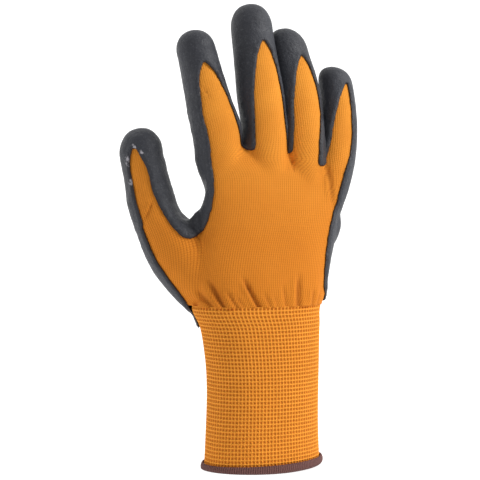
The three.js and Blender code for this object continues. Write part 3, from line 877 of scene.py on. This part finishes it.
def bare_on_hand():
    """The heel of the hand up to the thumb's web, and the back up to the finger roots."""
    ball = 113.5 + 7 * ease(-50, -54, sideways)
    heel = between(thumb_side, little_side, 0, ball)
    first_gap = ease(-14, -10, sideways) * ease(0, -4, sideways)
    knuckles = 157 + 1.5 * first_gap - 6 * ease(18, 26, sideways)
    back = between(index_side, little_side, 108, knuckles)
    return np.minimum(heel, back) / 1000


def in_little_fork():
    """How far inside the dark strip between the ring finger's and the little finger's bare stripes, in metres."""
    across, bottom, top, radius = little_fork
    below = np.maximum(bottom + radius - height, 0)
    above = np.maximum(height - top, 0)
    middle = across + fork_lean * (height - bottom)
    return (radius - np.hypot(sideways - middle, below + above)) / 1000


def bare_on_web():
    """The rim runs below the web between the thumb and the first finger, along a round arc."""
    across, up, radius = web_rim
    inside = radius - np.hypot(skin[:, 0] - across, skin[:, 2] - up)
    ends = np.maximum(skin[:, 0] + 0.0198, -0.0471 - skin[:, 0])
    heights = np.maximum(skin[:, 2] - 0.128, 0.105 - skin[:, 2])
    return np.maximum(np.maximum(inside, turned_away / 1000), np.maximum(ends, heights))


blend = 0.0008
zones = [bare_on_digit(name) for name in digits] + [bare_on_hand(), bare_on_web()]
coated = -blend * np.log(sum(np.exp(-np.clip(zone, -0.02, 0.02) / blend) for zone in zones))
past_little = (sideways - np.interp(height, little_side[:, 0], little_side[:, 1])) / 1000
coated = np.maximum(coated, np.minimum(past_little, 0.004))
coated = np.maximum(coated, in_little_fork())
coated += 0.0003 * wander(skin, 200, 3) + 0.00015 * wander(skin, 650, 9)
# At the wrist the film ends lower on the thumb's side than on the little finger's.
coated = np.minimum(coated, (height - 70.5 - 13 * ease(-22, 33, sideways)) / 1000)

latex_coating = copy_of(hand_form, "latex_coating")
layer = latex_coating.data.attributes.new("coated", "FLOAT", "POINT")
layer.data.foreach_set("value", coated)
# The film is slightly crinkled, with small cross wrinkles where the fingers and the thumb bend.
crinkles = 0.00008 + 0.00008 * wander(skin, 260, 1)
wrinkles = np.maximum(wander(skin * (0.3, 0.3, 1), 330, 4), 0)
wrinkles += np.maximum(wander(skin * (0.4, 0.4, 1), 150, 6), 0)
thumb_half = 0.25 + 0.75 * ease(-0.012, -0.03, skin[:, 0])
crinkles += 0.00035 * wrinkles * ease(0.085, 0.1, skin[:, 2]) * thumb_half
place_points(latex_coating, skin + outward * (coat_gap + crinkles)[:, None])
film = bmesh.new()
film.from_mesh(latex_coating.data)
film.verts.ensure_lookup_table()
depth = film.verts.layers.float["coated"]
# Each edge that the film's rim crosses is split there, and the two halves of a face are parted.
rim = set()
for edge in list(film.edges):
    a, b = edge.verts
    if a[depth] * b[depth] < 0:
        share = a[depth] / (a[depth] - b[depth])
        _, made = bmesh.utils.edge_split(edge, a, share)
        made[depth] = 0.0
        rim.add(made)
for face in list({face for vertex in rim for face in vertex.link_faces}):
    ends = [vertex for vertex in face.verts if vertex in rim]
    if len(ends) == 2:
        bmesh.utils.face_split(face, ends[0], ends[1])
bare = [face for face in film.faces if sum(vertex[depth] for vertex in face.verts) < 0]
bmesh.ops.delete(film, geom=bare, context="FACES")
film.to_mesh(latex_coating.data)
film.free()
cut_below(latex_coating, cuff_length - coat_overlap)

film_depth = np.empty(len(latex_coating.data.vertices))
latex_coating.data.attributes["coated"].data.foreach_get("value", film_depth)
group = latex_coating.vertex_groups.new(name="film")
# The rim is a thin lip with a rounded bead behind it.
bead = np.exp(-(((film_depth - 0.001) / 0.0007) ** 2))
flat_share = 0.8
full = 0.25 + (flat_share - 0.25) * ease(0.0, 0.0009, film_depth) + (1 - flat_share) * bead
for number, share in enumerate(full):
    group.add([number], float(share), "REPLACE")
finish_modifier(
    latex_coating, "SOLIDIFY", thickness=coat_wall / flat_share, offset=1, use_even_offset=False,
    vertex_group="film",
)
smooth_shade(latex_coating)
# Painted glints round the thumb's nail, pale spots standing for highlights: place across and up, and reach, in
# millimetres.
glint_spots = [
    (-63.6, 160.6, 1.1), (-66.9, 154.5, 1.0), (-67.0, 152, 0.9), (-65.6, 144, 0.9), (-65.4, 142, 0.7),
    (-60, 157.6, 0.8),
]
ends = points_of(latex_coating) * 1000
from_left = back_view[0] * ends[:, 0] + back_view[1] * ends[:, 1]
scuffed = sum(
    np.exp(-((from_left - x) ** 2 + (ends[:, 2] - z) ** 2) / reach ** 2) for x, z, reach in glint_spots
)
on_back = ends[:, 1] < 30
scuffed *= on_back
layer = latex_coating.data.attributes.new("scuffed", "FLOAT", "POINT")
layer.data.foreach_set("value", scuffed)

dark_latex = Finish("dark_latex", roughness=0.6, specular_ior_level=0.35)
spot = dark_latex.here()
crinkle = dark_latex.noise(spot, 320.0, 5.0, 0.62)
speckle = dark_latex.noise(spot, 1300.0, 2.0)
patch = dark_latex.noise(spot, 45.0, 3.0)
tone = dark_latex.mix(patch, (0.025, 0.0255, 0.029, 1), (0.042, 0.045, 0.058, 1))
# Painted glints: pale speckles stand for tiny highlights on the film; the same noise also bumps it.
glint_speckled_tone = dark_latex.mix((speckle - 0.56) * 2.0, tone, (0.11, 0.115, 0.13, 1))
from_rim = dark_latex.node("ShaderNodeAttribute", {"attribute_name": "coated"}, {}, out="Fac")
lip = 1 - (from_rim / 0.0006).size().least(1.0)
edged = dark_latex.mix(lip * 0.85, glint_speckled_tone, (0.022, 0.011, 0.008, 1))
# Painted highlight: pale spots round the thumb's nail stand for glints on the film's edge.
glint_mask = dark_latex.node("ShaderNodeAttribute", {"attribute_name": "scuffed"}, {}, out="Fac")
glint_share = (glint_mask * 1.6 + (dark_latex.noise(spot, 700.0, 2.0) - 0.62) * 3.0).most(0.0).least(0.85)
dark_latex.feed(
    base_color=dark_latex.mix(glint_share * (glint_mask * 8.0).least(1.0), edged, (0.50, 0.48, 0.52, 1)),
    roughness=crinkle * 0.35 + 0.36,
    normal=dark_latex.bump(crinkle + speckle * 0.25, 0.0009, 0.8),
)
latex_coating.data.materials.clear()
latex_coating.data.materials.append(dark_latex.material)
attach(latex_coating, "root")
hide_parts("palm_coating")

bpy.data.objects.remove(hand_form)


# The studio: a plain pale floor that curves up into a plain wall all round, with soft light from the front
# right.
floor_radius = 2.4
cove_radius = 0.9
cove_steps = 12
wall_height = 2.5
bpy.ops.object.select_all(action="DESELECT")
bpy.ops.mesh.primitive_circle_add(vertices=96, radius=floor_radius, fill_type="NGON", location=(0, 0, 0))
floor = bpy.context.object
floor.name = "floor"
bpy.ops.object.mode_set(mode="EDIT")
bpy.ops.mesh.select_mode(type="EDGE")
bpy.ops.mesh.select_all(action="DESELECT")
bpy.ops.mesh.select_non_manifold()
for step in range(1, cove_steps + 1):
    angle = step / cove_steps * math.pi / 2
    before = (step - 1) / cove_steps * math.pi / 2
    out = floor_radius + cove_radius * math.sin(angle)
    grow = out / (floor_radius + cove_radius * math.sin(before))
    rise = cove_radius * (math.cos(before) - math.cos(angle))
    bpy.ops.mesh.extrude_region_move(TRANSFORM_OT_translate={"value": (0, 0, rise)})
    bpy.ops.transform.resize(value=(grow, grow, 1), center_override=(0, 0, 0))
bpy.ops.mesh.extrude_region_move(TRANSFORM_OT_translate={"value": (0, 0, wall_height)})
bpy.ops.object.mode_set(mode="OBJECT")
smooth_shade(floor)
pale = Finish("pale_floor", base_color=(0.3, 0.3, 0.3, 1), roughness=0.9, specular_ior_level=0.0)
pale.shader.inputs["Emission Strength"].default_value = 1.0
room = pale.node("ShaderNodeSeparateXYZ", {}, {0: pale.here()}, out=1)
# The floor glows white behind the glove and is dim in front of it, so it sends little light back.
glow = pale.node("ShaderNodeMapRange", {"clamp": True}, {0: room, 1: -0.7, 2: 0.1, 3: 0.08, 4: 1.0})
pale.feed(emission_color=pale.mix(glow, (0, 0, 0, 1), (1, 1, 1, 1)))
floor.data.materials.append(pale.material)

world = bpy.data.worlds.new("studio")
bpy.context.scene.world = world
world.use_nodes = True
world.node_tree.nodes["Background"].inputs["Color"].default_value = (1, 1, 1, 1)
world.node_tree.nodes["Background"].inputs["Strength"].default_value = 0.22
bpy.context.scene.view_settings.view_transform = "Standard"


def softbox(name, place, size, power):
    """A square light that faces the glove."""
    light = bpy.data.lights.new(name, "AREA")
    light.size = size
    light.energy = power
    lamp = bpy.data.objects.new(name, light)
    bpy.context.collection.objects.link(lamp)
    lamp.location = place
    lamp.rotation_euler = (Vector(place) - Vector((0, 0, 0.11))).to_track_quat("Z", "Y").to_euler()


softbox("key", (1.5, -1.1, 1.2), 0.7, 38)
softbox("fill", (-0.4, -2.0, 0.9), 1.4, 2.6)

camera = bpy.data.objects.new("camera", bpy.data.cameras.new("camera"))
bpy.context.collection.objects.link(camera)
bpy.context.scene.camera = camera
camera.data.lens = 135
camera.data.sensor_width = 36
azimuth = math.radians(-18)
elevation = math.radians(3)
back = Vector((
    math.sin(azimuth) * math.cos(elevation), -math.cos(azimuth) * math.cos(elevation), math.sin(elevation),
))
camera.location = Vector((-0.0105, 0.0034, 0.114)) + back * 0.9
camera.rotation_euler = back.to_track_quat("Z", "Y").to_euler()
